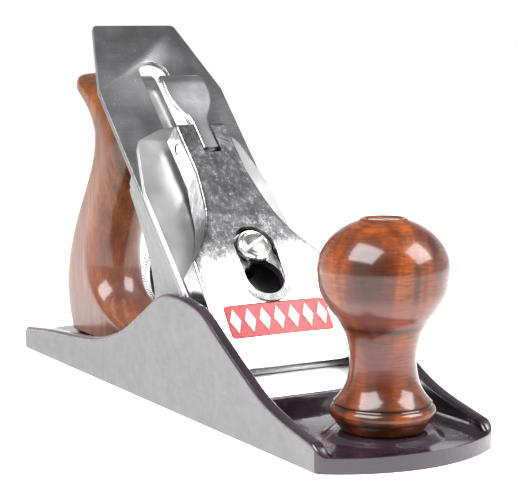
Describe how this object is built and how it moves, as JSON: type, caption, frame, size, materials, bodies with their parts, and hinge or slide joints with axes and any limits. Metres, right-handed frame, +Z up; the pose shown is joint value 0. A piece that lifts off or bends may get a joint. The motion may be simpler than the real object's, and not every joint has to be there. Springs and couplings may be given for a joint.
{
  "type": "hand plane",
  "caption": "Metal bench plane with a 45 degree cutter, lever cap, cap iron, screw depth adjuster, lateral lever, adjustable frog, round wooden knob and horned wooden handle.",
  "frame": {"origin": "middle of the sole, on its flat ground face", "axes": "+X from heel to toe along the sole, +Z up from the sole, +Y to the left of a user pushing the plane along +X"},
  "size_m": [0.245, 0.063, 0.1273],
  "materials": {
    "painted_iron": "dark maroon gloss paint inside, ground grey iron on the sole and cheeks",
    "frog_grey": "satin grey casting with a machined bed",
    "cutter_steel": "dark brushed steel",
    "bright_nickel": "bright plated steel",
    "cloudy_chrome": "plated casting, cloudy with casting ripple",
    "dark_steel": "oiled dark steel",
    "varnished_wood": "reddish brown hardwood under gloss varnish"
  },
  "bodies": {
    "casting": {"plane_body": "painted_iron", "frog_screw_right": "dark_steel", "frog_screw_left": "dark_steel", "frog_washer_right": "dark_steel", "frog_washer_left": "dark_steel", "knob": "varnished_wood", "knob_stud": "dark_steel", "knob_nut": "bright_nickel", "tote": "varnished_wood", "tote_stud": "dark_steel", "tote_nut": "bright_nickel"},
    "frog": {"frog": "frog_grey", "frog_setting_clip": "dark_steel", "clip_screw": "dark_steel", "yoke_pin": "dark_steel", "depth_stud": "dark_steel", "lateral_rivet": "dark_steel", "lever_cap_screw": "cloudy_chrome"},
    "frog_setting_screw": {"frog_setting_screw": "dark_steel"},
    "depth_nut": {"depth_nut": "bright_nickel"},
    "depth_wheel": {"depth_wheel": "bright_nickel"},
    "yoke": {"yoke": "dark_steel"},
    "lateral_lever": {"lateral_lever": "bright_nickel", "lateral_roller": "dark_steel"},
    "cap_iron": {"cap_iron": "bright_nickel", "cap_iron_screw": "dark_steel"},
    "cutter": {"cutter": "cutter_steel"},
    "lever_cap": {"lever_cap": "cloudy_chrome", "cam_pin": "bright_nickel", "cap_spring": "dark_steel", "cap_spring_rivet": "bright_nickel"},
    "cam_lever": {"cam_lever": "cloudy_chrome"}
  },
  "joints": [
    {"name": "frog_setting", "type": "slide", "parent": "casting", "child": "frog", "axis": [1, 0, 0], "range_m": [-0.001, 0.001]},
    {"name": "frog_screw_turn", "type": "hinge", "parent": "frog", "child": "frog_setting_screw", "pos_m": [0, 0, 0.0116], "axis": [1, 0, 0], "range_deg": [-455, 455]},
    {"name": "wheel_turn", "type": "hinge", "parent": "depth_nut", "child": "depth_wheel", "pos_m": [-0.0364, 0, 0.0378], "axis": [1, 0, 0], "range_deg": [-905, 725]},
    {"name": "nut_feed", "type": "slide", "parent": "frog", "child": "depth_nut", "axis": [1, 0, 0], "range_m": [-0.0022, 0.0027]},
    {"name": "yoke_swing", "type": "hinge", "parent": "frog", "child": "yoke", "pos_m": [-0.00623, 0, 0.05119], "axis": [0, 1, 0], "range_deg": [-11.6, 9.3]},
    {"name": "cutter_feed", "type": "slide", "parent": "frog", "child": "cap_iron", "axis": [-0.7071, 0, 0.7071], "range_m": [-0.0012, 0.0015]},
    {"name": "lateral_swing", "type": "hinge", "parent": "frog", "child": "lateral_lever", "pos_m": [-0.0256, 0, 0.0799], "axis": [0.7071, 0, 0.7071], "range_deg": [-8, 8]},
    {"name": "cutter_swing", "type": "hinge", "parent": "cap_iron", "child": "cutter", "pos_m": [0.02602, 0, 0.02828], "axis": [0.7071, 0, 0.7071], "range_deg": [-1.12, 1.12]},
    {"name": "cap_release", "type": "slide", "parent": "frog", "child": "lever_cap", "axis": [-0.7071, 0, 0.7071], "range_m": [0, 0.0117]},
    {"name": "cam_flip", "type": "hinge", "parent": "lever_cap", "child": "cam_lever", "pos_m": [-0.01712, 0, 0.08415], "axis": [0, 1, 0], "range_deg": [0, 90]}
  ],
  "couplings": [
    {"joint": "frog_screw_turn", "follows": "frog_setting", "rad_per_m": 7854},
    {"joint": "wheel_turn", "follows": "cutter_feed", "rad_per_m": -10449},
    {"joint": "nut_feed", "follows": "cutter_feed", "ratio": 1.7628},
    {"joint": "yoke_swing", "follows": "cutter_feed", "rad_per_m": -131.56},
    {"joint": "cutter_swing", "follows": "lateral_swing", "ratio": -0.1371}
  ]
}
